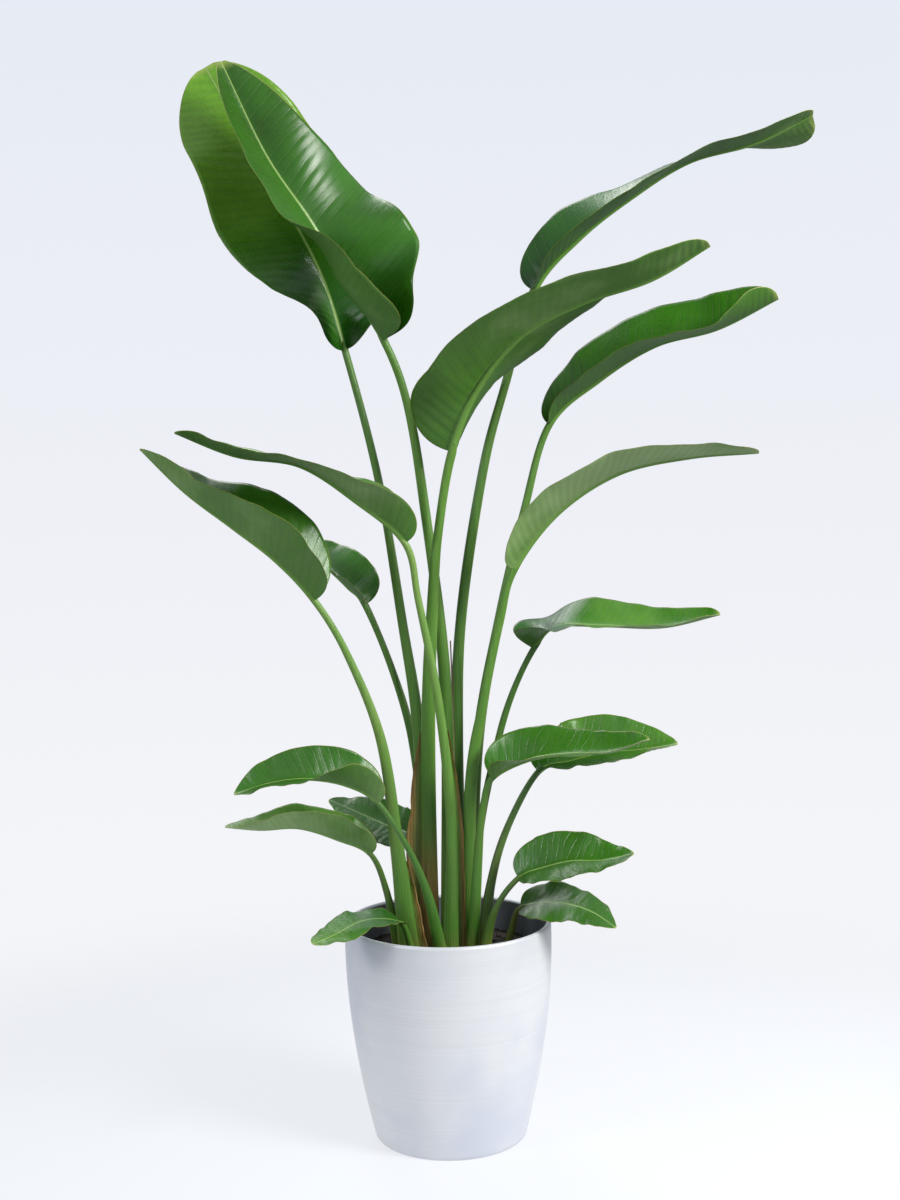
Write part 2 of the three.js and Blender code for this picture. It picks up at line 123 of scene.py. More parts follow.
LEAVES = {
    "a": {
        "stalk": [[-24, 26, 276], [-37, 38, 575], [-60, 52, 750], [-92, 64, 960], [-138, 75, 1150]],
        "rib": [[-171, 69, 1260], [-223, 65, 1363], [-280, 66, 1464], [-336, 90, 1566]],
        "foot": [14, 8],
        "top": 6,
        "half": 114,
        "taper": [0.38, 0.48],
        "roll": [-80, -85, -80],
        "left": {"lift": [65, 35, 12, 28, 20], "curl": [0, 0, 10, 10, 0]},
        "right": {"lift": [60, 10, -20, -25, -20]},
        # Leaf a's light and yellow values rise towards the tip. They paint the bright yellow-green of light
        # shining through the blade.
        "light": [0.35, 0.4, 0.6, 0.75, 0.8, 0.8],
        "yellow": [0, 0.05, 0.2, 0.45, 0.6, 0.55],
        "wave": 2,
        "stem": 0.35,
    },
    "b": {
        "stalk": [[2, 0, 276], [3, 8, 650], [-25, 12, 930], [-47, 10, 1070], [-78, 5, 1157]],
        "rib": [[-129, -3, 1240], [-179, -5, 1326], [-241, 5, 1421], [-304, 20, 1556]],
        "foot": [13, 8],
        "top": 6.5,
        "half": 120,
        "taper": [0.25, 0.62],
        "roll": [-60, -60],
        "left": {
            "lift": [70, 35, 30, 42, 38, 49, 50, 47, 45],
            "curl": [20, 70, 70, 40, 20, 10, 8, 8, 10],
        },
        "right": {
            "lift": [95, 86, 58, 54, 20, 18, 25, 25, 25],
            "curl": [0, 0, -30, -45, -45, -45, -35, -30, -30],
        },
        "light": [0.45, 0.35, 0.3, 0.2],
        "wave": 2,
        "stem": 0.5,
    },
    "c": {
        "stalk": [
            [17, 40, 276], [16, 42, 575], [26, 46, 760], [61, 52, 970], [95, 56, 1093], [139, 53, 1230],
        ],
        "rib": [[204, 46, 1303], [283, 55, 1363], [368, 60, 1413], [466, 60, 1438], [547, 50, 1474]],
        "foot": [13, 8],
        "top": 7,
        "half": 82,
        "taper": [0.36, 0.32],
        "roll": [20, 20, 20, 5, -15, -20],
        "left": {"lift": [65, 30, 0, 8, 22, -20]},
        "right": {"lift": [22, 31, 26, 6, -12, -16]},
        "light": [0.15, 0.35, 0.5, 0.45, 0.5],
        "wave": 2,
        "stem": 0.25,
        "yellow": [0, 0.1],
    },
    "d": {
        "stalk": [[-28, 2, 276], [-25, -5, 595], [-15, -15, 785], [-5, -20, 885], [16, -30, 995]],
        "rib": [[54, -53, 1083], [113, -81, 1151], [198, -104, 1193], [289, -121, 1220], [366, -140, 1262]],
        "foot": [15, 8],
        "top": 6.5,
        "half": 118,
        "taper": [0.39, 0.45],
        "roll": [-65, -55, -20, -20, -20, -10],
        "left": {"lift": [100, 72, 20, 24, 40, 40]},
        "right": {"lift": [0, -36, -8, -10, -8, 5]},
        "light": [0.3, 0.4, 0.6, 0.55, 0.5],
        "yellow": [0.1, 0.15, 0.15],
        "wave": 2,
        "stem": 0.45,
        "brown": 200,
        "sheath": [[-1, 325, 22]],
    },
    "e": {
        "stalk": [[28, 18, 276], [45, 22, 560], [80, 30, 750], [120, 40, 910], [159, 45, 1035]],
        "rib": [[231, 37, 1098], [313, 30, 1146], [403, 25, 1168], [488, 10, 1208]],
        "foot": [13, 8],
        "top": 6,
        "half": 82,
        "taper": [0.45, 0.38],
        "roll": [10, 10],
        "left": {"lift": [50, 42, 36, 38, 48]},
        "right": {"lift": [30, 25, 15, 15, 50]},
        "light": [0.2, 0.25, 0.5, 0.45, 0.45],
        "wave": 3,
        "stem": 0.4,
    },
    "f": {
        "stalk": [[26, -20, 276], [35, -25, 520], [55, -30, 640], [80, -35, 755], [101, -40, 828]],
        "rib": [[162, -53, 907], [247, -67, 961], [344, -79, 981], [440, -90, 986]],
        "foot": [13, 8],
        "top": 6,
        "half": 80,
        "taper": [0.38, 0.5],
        "roll": [-15, -15],
        "left": {"lift": [35, 30, 28, 25, 30]},
        "right": {"lift": [8, 8, 5, 0, 5]},
        # Leaf f's high light values make it pale grey-green. This is in part its under face's own grey and
        # in part a painted sheen.
        "light": [0.7, 0.9, 1.0, 0.9, 0.7],
        "wave": 3,
        "stem": 0.45,
    },
    "g": {
        "stalk": [[37, -3, 276], [45, -1, 430], [72, 5, 560], [96, 9, 640], [130, 10, 710]],
        "rib": [[162, 10, 743], [235, 5, 743], [318, 0, 740], [400, -5, 757]],
        "foot": [9, 6],
        "top": 5,
        "half": 60,
        "taper": [0.22, 0.5],
        "roll": [0, 10, 10, 10],
        "left": {"lift": [80, 5, 28, 28, 30, 40]},
        "right": {"lift": [85, 8, 15, 15, 20, 30]},
        "light": [0.3, 0.35, 0.75, 0.6, 0.5],
        "yellow": [0, 0.05, 0.15],
        "wave": 3,
        "stem": 0.2,
    },
    "h": {
        "stalk": [[34, -46, 276], [44, -56, 430], [52, -58, 495], [66, -60, 535]],
        "rib": [[118, -63, 561], [176, -66, 569], [234, -69, 571], [288, -72, 588]],
        "foot": [10, 7],
        "top": 5,
        "half": 55,
        "roll": [10, 10],
        "left": {"lift": [85, 45, 25, 30, 40]},
        "right": {"lift": [60, 20, 18, 20, 30]},
        "light": [0.5, 0.4, 0.4, 0.55],
        "stem": 0.35,
    },
    "i": {
        "stalk": [[49, -30, 276], [62, -16, 370], [88, 0, 450], [135, 10, 530]],
        "rib": [[182, 10, 545], [232, 6, 557], [284, -2, 562], [336, -12, 571]],
        "foot": [11, 7],
        "top": 5,
        "half": 62,
        "roll": [10, 10],
        "left": {"lift": [60, 60, 55, 50, 40]},
        "right": {"lift": [20, 10, 5, 10, 20]},
        "light": [0.5, 0.55, 0.6, 0.8],
        "stem": 0.2,
    },
    "j": {
        "stalk": [[50, -61, 276], [66, -65, 345], [100, -68, 392]],
        "rib": [[136, -74, 408], [176, -80, 418], [219, -86, 420], [262, -92, 430]],
        "foot": [9, 6],
        "top": 4.5,
        "half": 50,
        "roll": [10, 10],
        "left": {"lift": [60, 50, 45, 35, 20]},
        "right": {"lift": [0, -4, -4, 0, 10]},
        "light": [0.25, 0.35, 0.45],
        "stem": 0.3,
    },
    "k": {
        "stalk": [[84, -20, 276], [92, -26, 308], [104, -34, 340]],
        "rib": [[138, -50, 352], [172, -63, 352], [205, -76, 343], [236, -90, 324]],
        "foot": [8, 6],
        "top": 4.5,
        "half": 42,
        "roll": [10, 10],
        "left": {"lift": [40, 25, 15, 10, 0]},
        "right": {"lift": [-10, -15, -15, -10, 0]},
        "light": [0.1, 0.3, 0.4],
        "stem": 0.3,
    },
    "l": {
        "stalk": [[5, -40, 276], [8, -34, 470], [-8, -34, 640], [-34, -36, 785], [-52, -40, 868]],
        "rib": [[-120, -51, 929], [-197, -59, 979], [-287, -60, 994], [-371, -60, 1027]],
        "foot": [13, 8],
        "top": 5.5,
        "half": 65,
        "taper": [0.38, 0.54],
        "roll": [0, 0],
        "left": {"lift": [70, 40, 12, 8, 20, 22]},
        "right": {"lift": [65, 48, 10, 8, 18, 22]},
        "light": [0.5, 0.65, 0.75, 0.7, 0.6],
        "wave": 3,
        "stem": 0.65,
        "sheath": [[1, 330, 7]],
    },
    "m": {
        "stalk": [[-55, -25, 276], [-70, -28, 425], [-90, -40, 585], [-135, -50, 710], [-180, -60, 790]],
        "rib": [[-232, -66, 848], [-292, -74, 896], [-355, -80, 945], [-415, -85, 1005]],
        "foot": [17, 8],
        "top": 5.5,
        "half": 90,
        "roll": [0, 0],
        "left": {"lift": [40, 36, 30, 24, 28]},
        "right": {"lift": [62, 64, 54, 28, 20]},
        "light": [0.4, 0.45, 0.5, 0.6, 0.7],
        "wave": 3,
        "stem": 0.6,
        "sheath": [[1, 140, 8]],
        "yellow": [0.15, 0.15],
    },
    "n": {
        "stalk": [[-26, 66, 276], [-33, 70, 430], [-50, 72, 575], [-78, 64, 680], [-115, 55, 775]],
        "rib": [[-140, 80, 800], [-170, 115, 825], [-205, 165, 845], [-245, 215, 855]],
        "foot": [11, 7],
        "top": 5,
        "half": 52,
        "roll": [0, 0],
        "left": {"lift": [40, 40]},
        "right": {"lift": [40, 40]},
        "light": [0.3, 0.5, 0.6],
        "stem": 0.3,
    },
    "o": {
        "stalk": [[-8, -64, 276], [-26, -69, 365], [-52, -78, 435], [-95, -88, 507]],
        "rib": [[-137, -94, 534], [-190, -102, 545], [-243, -109, 541], [-293, -116, 527]],
        "foot": [12, 7],
        "top": 4.5,
        "half": 50,
        "roll": [-10, -10],
        "left": {"lift": [80, 62, 20, 10, 15]},
        "right": {"lift": [55, 62, 58, 50, 40]},
        "light": [0.6, 0.4, 0.3, 0.5],
        "stem": 0.35,
    },
    "p": {
        "stalk": [[-72, -10, 276], [-88, -20, 365], [-110, -30, 422]],
        "rib": [[-155, -37, 446], [-210, -45, 465], [-264, -54, 465], [-314, -62, 471]],
        "foot": [9, 6],
        "top": 4.5,
        "half": 46,
        "roll": [-10, -10],
        "left": {"lift": [75, 68, 60, 48, 30]},
        "right": {"lift": [60, 40, 30, 20, 10]},
        "light": [0.5, 0.65, 0.75, 0.8],
        "stem": 0.3,
        "yellow": [0.05, 0.15, 0.2],
    },
    "q": {
        "stalk": [[-54, 64, 276], [-53, 70, 360], [-51, 78, 420]],
        "rib": [[-80, 86, 434], [-112, 92, 448], [-145, 98, 462], [-178, 103, 476]],
        "foot": [9, 6],
        "top": 4.5,
        "half": 48,
        "roll": [-10, -10],
        "left": {"lift": [0, -15, -12, -5, 0]},
        "right": {"lift": [40, 30, 24, 15, 10]},
        "light": [0.3, 0.4],
        "stem": 0.3,
    },
    "r": {
        "stalk": [[-50, -62, 276], [-56, -68, 305], [-66, -76, 332]],
        "rib": [[-94, -98, 345], [-124, -122, 347], [-154, -146, 337], [-184, -168, 330]],
        "foot": [7, 5],
        "top": 4,
        "half": 35,
        "taper": [0.38, 0.48],
        "roll": [-10, -10],
        "left": {"lift": [20, 8, 5, 5]},
        "right": {"lift": [20, 0, 0, 0]},
        "light": [0.3, 0.5, 0.7],
        "stem": 0.4,
        "yellow": [0, 0.1, 0.35],
    },
}

# New leaf: a tight roll that tapers to a point
NEW_LEAF = {
    "stalk": [[5, 21, 276], [11, 24, 500], [12, 26, 630], [10, 28, 722]],
    "rib": [],
    "foot": [6, 5],
    "top": 1,
}


# ---------------------------------------------------------------- curves

def unit(vectors):
    return vectors / np.linalg.norm(vectors, axis=-1, keepdims=True)


def smooth(values, low, high):
    t = np.clip((values - low) / (high - low), 0, 1)
    return t * t * (3 - 2 * t)


def along(values, s):
    """A smooth value at shares s along a list of numbers or points: a Catmull-Rom curve."""
    points = np.asarray(values, float)
    ends = np.concatenate([[2 * points[0] - points[1]], points, [2 * points[-1] - points[-2]]])
    place = np.clip(s, 0, 1) * (len(points) - 1)
    i = np.minimum(place.astype(int), len(points) - 2)
    t = place - i
    a, b, c, d = ends[i], ends[i + 1], ends[i + 2], ends[i + 3]
    if points.ndim > 1:
        t = t[:, None]
    return b + 0.5 * t * (c - a + t * (2 * a - 5 * b + 4 * c - d + t * (3 * (b - c) + d - a)))


def tangents(corners, s):
    return unit(along(corners, s + 1e-4) - along(corners, s - 1e-4))


def leaf_curve(leaf):
    """The points of stalk and rib in metres, and the share of their curve where the stalk ends."""
    corners = np.array(leaf["stalk"] + leaf["rib"], float) * MM
    return corners, (len(leaf["stalk"]) - 1) / (len(corners) - 1)


def waves(rng, s, lowest, count):
    """A smooth random line between about -1 and 1: a few sine waves of rising frequency."""
    total = np.zeros_like(s)
    for k in range(count):
        total += np.sin(2 * math.pi * (lowest * 1.6**k * s + rng.random())) / 1.5**k
    return total / 1.8


# ---------------------------------------------------------------- meshes

def make_object(name, vertices, faces, values=None):
    """A smooth mesh. `values` gives its material a named number at each vertex."""
    mesh = bpy.data.meshes.new(name)
    mesh.from_pydata(vertices.tolist(), [], faces)
    mesh.shade_smooth()
    for key, numbers in (values or {}).items():
        layer = mesh.attributes.new(key, "FLOAT", "POINT")
        layer.data.foreach_set("value", np.ascontiguousarray(numbers, np.float32).ravel())
    mesh.validate()
    thing = bpy.data.objects.new(name, mesh)
    bpy.context.scene.collection.objects.link(thing)
    return thing


def grid_faces(rows, columns, start=0, closed=False, flip=False):
    """Quads over a grid of points. `closed` joins the last column to the first."""
    faces = []
    for r in range(rows - 1):
        for c in range(columns if closed else columns - 1):
            a = start + r * columns + c
            b = start + r * columns + (c + 1) % columns
            quad = (a, b, b + columns, a + columns)
            faces.append(quad[::-1] if flip else quad)
    return faces


def shell(upper, under):
    """One closed skin from two grids of the same size: an upper face, an under face and a rim between."""
    rows, columns = upper.shape[:2]
    size = rows * columns
    faces = grid_faces(rows, columns) + grid_faces(rows, columns, start=size, flip=True)
    rim = list(range(columns))
    rim += [r * columns + columns - 1 for r in range(1, rows)]
    rim += [(rows - 1) * columns + c for c in range(columns - 2, -1, -1)]
    rim += [r * columns for r in range(rows - 2, 0, -1)]
    for a, b in zip(rim, rim[1:] + rim[:1]):
        faces.append((b, a, a + size, b + size))
    return np.concatenate([upper.reshape(-1, 3), under.reshape(-1, 3)]), faces


def tube(rings):
    """One closed skin from a stack of rings, capped at both ends."""
    count, sides = rings.shape[:2]
    faces = grid_faces(count, sides, closed=True)
    faces.append(tuple(range(sides - 1, -1, -1)))
    faces.append(tuple((count - 1) * sides + i for i in range(sides)))
    return rings.reshape(-1, 3), faces


def lathe(profile, segments):
    """A closed solid of revolution. The profile's first and last points lie on the axis."""
    angles = np.arange(segments) * 2 * math.pi / segments
    middle = np.array(profile[1:-1], float) * MM
    rings = np.stack(
        [
            middle[:, :1] * np.cos(angles),
            middle[:, :1] * np.sin(angles),
            np.repeat(middle[:, 1:], segments, axis=1),
        ],
        axis=-1,
    )
    ends = [[0, 0, profile[0][1] * MM], [0, 0, profile[-1][1] * MM]]
    vertices = np.concatenate([rings.reshape(-1, 3), ends])
    faces = grid_faces(len(middle), segments, closed=True)
    first = len(middle) * segments
    last_ring = (len(middle) - 1) * segments
    for i in range(segments):
        j = (i + 1) % segments
        faces.append((first, j, i))
        faces.append((first + 1, last_ring + i, last_ring + j))
    return vertices, faces


# ---------------------------------------------------------------- leaf blades

def outline(leaf, s):
    """Half the blade's width at share s of the rib, as a share of the widest."""
    foot, tip = leaf.get("taper", TAPER)
    widest = foot / (foot + tip)
    return (s / widest) ** foot * ((1 - s) / (1 - widest)) ** tip


def blade_frame(leaf, s):
    """Centre of the rib, and the directions across the blade and out of its upper face."""
    corners, join = leaf_curve(leaf)
    place = join + (1 - join) * s
    tangent = tangents(corners, place)
    upright = unit(UP - tangent * tangent[:, 2:])
    level = np.cross(tangent, upright)
    turn = np.radians(along(leaf["roll"], s))[:, None]
    normal = upright * np.cos(turn) + level * np.sin(turn)
    return along(corners, place), np.cross(tangent, normal), normal


def blade_half(leaf, s, sign, shape, rib, width, length, rng):
    """One half of the blade, from the middle of the rib out to the margin.

    Gives the points of its upper and under faces, and at each the count of side veins so far and the
    distances to the margin and from the middle of the rib.
    """
    centre, across, normal = blade_frame(leaf, s)
    core = rib[:, None]
    outer = np.linspace(0, 1, HALF_COLUMNS + 1)[1:]
    x = np.concatenate([core * RIB_COLUMNS, core + (width[:, None] - core) * outer], axis=1)
    t = x / width[:, None]
    lift = np.radians(along(shape["lift"], s))[:, None]
    curl = np.radians(along(shape.get("curl", (0, 0)), s))[:, None]
    middle = (x[:, 1:] + x[:, :-1]) / 2
    angle = lift * (1 - np.exp(-middle / (CREASE * MM))) + curl * middle / width[:, None]
    step = np.diff(x, axis=1)
    outward = np.pad(np.cumsum(np.cos(angle) * step, axis=1), ((0, 0), (1, 0)))[..., None]
    raised = np.pad(np.cumsum(np.sin(angle) * step, axis=1), ((0, 0), (1, 0)))[..., None]
    angle = np.pad(angle, ((0, 0), (1, 0)))[..., None]
    sideways = sign * across[:, None]
    facing = normal[:, None] * np.cos(angle) - sideways * np.sin(angle)
    point = centre[:, None] + sideways * outward + normal[:, None] * raised

    place = s[:, None] * length / MM - VEIN_SWEEP * x / MM
    size = math.sqrt(leaf["half"] / TYPICAL_HALF)
    vein = place / (VEIN_SPACING * size) + 0.35 * waves(rng, s, 3, 4)[:, None]
    ripple = RIPPLE * size**2 * np.cos(2 * math.pi * vein) * smooth(x, 2 * MM, 16 * MM) * (1 - 0.8 * t**3)
    wave = leaf.get("wave", WAVE)
    flutter = wave * t**2.5 * waves(rng, s, 2.2, 4)[:, None]
    billow = wave * 0.35 * np.sin(math.pi * t) * waves(rng, s, 1.3, 3)[:, None]
    room = smooth(s, 0, 0.06)[:, None] * smooth(width[:, None], 0, 25 * MM)
    upper = point + facing * ((ripple + flutter + billow) * room * MM)[..., None]
    lamina = (EDGE + (LAMINA - EDGE) * (1 - t**6)) * MM
    keel = np.sqrt(np.maximum(core**2 - x**2, 0)) * 0.9
    under = upper - facing * lamina[..., None] - normal[:, None] * keel[..., None]
    return upper, under, vein, (width[:, None] - x) / MM, x / MM


def make_blade(name, leaf, seed):
    rng = np.random.default_rng(seed)
    corners, join = leaf_curve(leaf)
    fine = along(corners, np.linspace(join, 1, 200))
    length = np.linalg.norm(np.diff(fine, axis=0), axis=1).sum()
    rings = int(BLADE_RINGS[0] + BLADE_RINGS[1] * length)
    s = 0.5 - 0.5 * np.cos(math.pi * np.linspace(0.012, 0.965, rings))
    width = np.maximum(leaf["half"] * outline(leaf, s), leaf["top"] * 0.9) * MM
    rib = np.minimum((0.5 + (leaf["top"] * 0.95 - 0.5) * (1 - s) ** 0.75) * MM, 0.6 * width)
    left = blade_half(leaf, s, -1, leaf["left"], rib, width, length, rng)
    right = blade_half(leaf, s, 1, leaf["right"], rib, width, length, rng)
    upper, under, vein, margin, from_rib = (
        np.concatenate([a[:, :0:-1], b], axis=1) for a, b in zip(left, right)
    )
    vertices, faces = shell(upper, under)

    radius = rib[:, None] / MM
    upper_rib = 1 - smooth(from_rib, 0.15 * radius + 0.3, 0.3 * radius + 0.8)
    under_rib = 1 - smooth(from_rib, 0.9 * radius, 1.05 * radius)
    both = (2, *vein.shape)  # the upper face and then the under face
    values = {
        "upper": np.broadcast_to([[[1]], [[0]]], both),
        "rib": np.stack([upper_rib, under_rib]),
        "vein": np.broadcast_to(vein, both),
        "margin": np.broadcast_to(margin, both),
        "share": np.broadcast_to(s[:, None], both),
        "light": np.broadcast_to(along(leaf["light"], s)[:, None], both),
        "yellow": np.broadcast_to(along(leaf.get("yellow", YELLOW), s)[:, None], both),
    }
    return make_object(name, vertices, faces, values)


# ---------------------------------------------------------------- stalks

def stalk_frame(leaf, s):
    corners, join = leaf_curve(leaf)
    tangent = tangents(corners, s * join)
    side = unit(np.stack([tangent[:, 2], np.zeros(len(s)), -tangent[:, 0]], axis=1))
    front = np.cross(side, tangent)
    return along(corners, s * join), tangent, side, front


def stalk_size(leaf, s):
    narrow = (1 - s) ** FOOT_SHARE
    top = leaf["top"]
    wide = top + (leaf["foot"][0] - top) * narrow
    deep = top + (leaf["foot"][1] - top) * narrow
    return wide * MM, deep * MM


def stalk_rings(leaf, rng):
    """Rings up the stalk: from below the soil's surface, to a short tapered end under the blade's foot."""
    s = np.linspace(0, 1, STALK_RINGS)
    centre, tangent, side, front = stalk_frame(leaf, s)
    wide, deep = stalk_size(leaf, s)
    corners, _ = leaf_curve(leaf)
    lean = corners[0] - corners[-1]
    inner = unit(UP + unit(lean * [1, 1, 0]))
    inner = unit(inner - tangent * (tangent @ inner)[:, None])
    angles = np.arange(STALK_SIDES) * 2 * math.pi / STALK_SIDES
    ray = side[:, None] * np.cos(angles)[:, None] + front[:, None] * np.sin(angles)[:, None]
    groove = smooth(np.einsum("ijk,ik->ij", ray, inner), 0.7, 1.0) * 0.28
    swell = 1 + 0.03 * waves(rng, s, 2, 3)[:, None]
    size = (1 - groove) * swell
    around = np.stack([wide[:, None] * np.cos(angles) * size, deep[:, None] * np.sin(angles) * size])
    rings = centre[:, None] + side[:, None] * around[0][..., None] + front[:, None] * around[1][..., None]
    start = rings[:1] - tangent[0] * PLANTED * MM
    return start, rings, tangent[-1]


def rounded_end(ring, direction, reach, keel):
    """Three shrinking rings that close a stalk's top under the blade, sinking away from the upper face."""
    centre = ring.mean(axis=0)
    rings = []
    for step, size in ((0.4, 0.85), (0.8, 0.6), (1.0, 0.3)):
        rings.append(centre + (ring - centre) * size + direction * reach * step - keel * (1 - size))
    return np.stack(rings)


def make_stalk(name, leaf, seed):
    rng = np.random.default_rng(seed)
    start, rings, end = stalk_rings(leaf, rng)
    _, _, normal = blade_frame(leaf, np.array([0.0]))
    keel = normal[0] * leaf["top"] * MM
    cap = rounded_end(rings[-1], end, 2.5 * leaf["top"] * MM, keel)
    vertices, faces = tube(np.concatenate([start, rings, cap]))
    height = vertices[:, 2] / MM - SOIL_EDGE
    around = np.tile(np.arange(STALK_SIDES) / STALK_SIDES, len(vertices) // STALK_SIDES)
    brown = smooth(leaf.get("brown", BROWN) - height, 0, 120) * 0.8
    stem = [[around, height, brown]]
    for wing in leaf.get("sheath", []):
        wing_vertices, wing_faces, wing_stem = sheath_wing(leaf, wing, rng)
        faces += [tuple(i + len(vertices) for i in face) for face in wing_faces]
        vertices = np.concatenate([vertices, wing_vertices])
        stem.append(wing_stem)
    around, height, brown = np.concatenate(stem, axis=1)
    light = np.full(len(vertices), leaf["stem"])
    values = {"around": around, "height": height, "brown": brown, "light": light}
    return make_object(name, vertices, faces, values)


def sheath_wing(leaf, wing, rng):
    """The thin dry edge of a stalk's sheath: a strip on its flank, widest low down, pointed at the top."""
    sign, top, reach = wing
    corners, join = leaf_curve(leaf)
    heights = along(corners, np.linspace(0, join, 400))[:, 2] / MM - SOIL_EDGE
    rows, columns = SHEATH_GRID
    s = np.linspace(0, np.interp(top, heights, np.linspace(0, 1, 400)), rows)
    centre, _, side, front = stalk_frame(leaf, s)
    wide, deep = stalk_size(leaf, s)
    u = np.linspace(0, 1, columns)
    rise = s / s[-1]
    spread = reach * MM * (1 - rise**3) * (0.75 + 0.25 * (1 - rise)) * (1 + 0.12 * waves(rng, rise, 3, 4))
    outward = sign * (0.55 * wide[:, None] + (0.45 * wide + spread)[:, None] * u)
    forward = 0.55 * deep[:, None] * (1 - u**2) + 1.5 * MM * waves(rng, rise, 2, 3)[:, None] * u
    face = centre[:, None] + side[:, None] * outward[..., None] - front[:, None] * forward[..., None]
    back = face + front[:, None] * ((1.1 - 0.8 * u) * MM)[:, None]
    grids = (face, back) if sign > 0 else (back, face)
    vertices, faces = shell(*grids)
    brown = np.maximum(0.15 + 0.85 * smooth(u, 0.35, 0.9)[None], smooth(rise, 0.7, 1.0)[:, None])
    height = np.broadcast_to(centre[:, 2:] / MM - SOIL_EDGE, brown.shape)
    stem = [np.tile(values.ravel(), 2) for values in (np.broadcast_to(u * 0.2, brown.shape), height, brown)]
    return vertices, faces, stem


def make_new_leaf(name):
    """A rolled leaf: its section is one turn of a spiral, so the free edge runs up it as a small step."""
    s = np.linspace(0, 1, STALK_RINGS * 2)
    centre, tangent, side, front = stalk_frame(NEW_LEAF, s)
    wide, deep = stalk_size(NEW_LEAF, s)
    sides = STALK_SIDES * 2
    turn = np.arange(sides) / sides
    step = 0.86 + 0.22 * ((turn[None] + 1.4 * s[:, None]) % 1)
    angles = 2 * math.pi * turn
    rings = (
        centre[:, None]
        + side[:, None] * (wide[:, None] * np.cos(angles) * step)[..., None]
        + front[:, None] * (deep[:, None] * np.sin(angles) * step)[..., None]
    )
    start = rings[:1] - tangent[0] * PLANTED * MM
    vertices, faces = tube(np.concatenate([start, rings]))
    return make_object(name, vertices, faces)


# ---------------------------------------------------------------- pot and soil

def side_radius(height, inset):
    """Radius of the pot's side at a height, from its curve between base, belly and rim."""
    t = np.linspace(0, 1, 400)
    radius = BASE_RADIUS * (1 - t) ** 2 + 2 * BELLY[0] * t * (1 - t) + RIM_RADIUS * t**2
    level = 2 * BELLY[1] * t * (1 - t) + POT_HEIGHT * t**2
    return np.interp(height, level, radius) - inset


def arc(centre, radius, first, last, count):
    angles = np.radians(np.linspace(first, last, count))
    return [(centre[0] + radius * math.cos(a), centre[1] + radius * math.sin(a)) for a in angles]


def make_pot(name):
    shoulder = POT_HEIGHT - LIP
    outer = [(side_radius(z, 0), z) for z in np.linspace(BASE_EDGE, shoulder, POT_LEVELS)]
    inner = [(side_radius(z, WALL), z) for z in np.linspace(shoulder, FLOOR + CORNER, POT_LEVELS)]
    lip = WALL / 2
    top = (side_radius(POT_HEIGHT, lip), POT_HEIGHT - lip)
    bottom = (side_radius(0, BASE_EDGE), BASE_EDGE)
    recess_top, recess_foot = (BASE_RADIUS - inset for inset in RECESS_SIDE)
    profile = [(0, RECESS), (recess_top, RECESS), (recess_foot, 0)]
    profile += arc(bottom, BASE_EDGE, -90, -20, 5)
    profile += outer
    profile += arc(top, lip, 10, 170, 11)
    profile += inner
    profile += [(side_radius(FLOOR, WALL + CORNER), FLOOR), (0, FLOOR)]
    vertices, faces = lathe(profile, POT_SEGMENTS)
    first_inner = len(profile) - 2 - len(inner) - 1
    inside = np.repeat(np.arange(1, len(profile) - 1) > first_inner, POT_SEGMENTS).astype(float)
    inside = np.concatenate([inside, [0, 1]])
    return make_object(name, vertices, faces, {"inside": inside})


def soil_height(x, y):
    """Height of the soil's surface, in millimetres: a low mound with clods."""
    radius = np.hypot(x, y)
    mound = SOIL_EDGE + SOIL_RISE * (1 - smooth(radius, *MOUND_SLOPE))
    clods = CLODS * np.sin(x / 7.1 + 2 * np.sin(y / 11)) * np.sin(y / 6.3 + 1.7 * np.sin(x / 9))
    return mound + clods - SOIL_SUNK


def make_soil(name):
    rng = np.random.default_rng(5)
    radii = np.linspace(3, side_radius(SOIL_EDGE, WALL + GAP), SOIL_CIRCLES)
    angles = np.arange(POT_SEGMENTS) * 2 * math.pi / POT_SEGMENTS
    x = radii[:, None] * np.cos(angles)
    y = radii[:, None] * np.sin(angles)
    z = soil_height(x, y) + rng.normal(0, SOIL_GRAIN, x.shape)
    top = np.stack([x, y, z], axis=-1) * MM
    wall = []
    for level in np.linspace(FLOOR + GAP, SOIL_EDGE - 6, SOIL_LEVELS):
        radius = side_radius(level, WALL + GAP)
        x, y = radius * np.cos(angles), radius * np.sin(angles)
        wall.append(np.stack([x, y, np.full(POT_SEGMENTS, level)], axis=-1) * MM)
    vertices, faces = tube(np.concatenate([np.array(wall), top[::-1]]))
    return make_object(name, vertices, faces)


def make_crumbs(name):
    """Loose crumbs of bark and soil, part sunk in the surface, joined in one piece."""
    rng = np.random.default_rng(11)
    shape = bmesh.new()
    for _ in range(CRUMBS):
        angle = rng.uniform(0, 2 * math.pi)
        radius = math.sqrt(rng.uniform(0, 1)) * (side_radius(SOIL_EDGE, WALL) - CRUMB_MARGIN)
        x, y = radius * math.cos(angle), radius * math.sin(angle)
        size = rng.uniform(*CRUMB_SIZE)
        made = bmesh.ops.create_icosphere(shape, subdivisions=2, radius=size * MM)
        squash = Matrix.Diagonal((rng.uniform(0.8, 1.7), rng.uniform(0.6, 1.1), rng.uniform(0.4, 0.8), 1))
        spin = Matrix.Rotation(rng.uniform(0, math.pi), 4, "Z")
        spin @= Matrix.Rotation(rng.uniform(-0.5, 0.5), 4, "X")
        place = Matrix.Translation(Vector((x, y, float(soil_height(x, y)) + size * 0.2)) * MM)
        for vertex in made["verts"]:
            ridge = math.sin(vertex.co.x / MM * 2.3 + angle) * math.cos(vertex.co.y / MM * 1.9 + radius)
            vertex.co = place @ spin @ squash @ (vertex.co * (1 + 0.18 * ridge))
    mesh = bpy.data.meshes.new(name)
    shape.to_mesh(mesh)
    shape.free()
    mesh.shade_smooth()
    thing = bpy.data.objects.new(name, mesh)
    bpy.context.scene.collection.objects.link(thing)
    return thing


# ---------------------------------------------------------------- materials

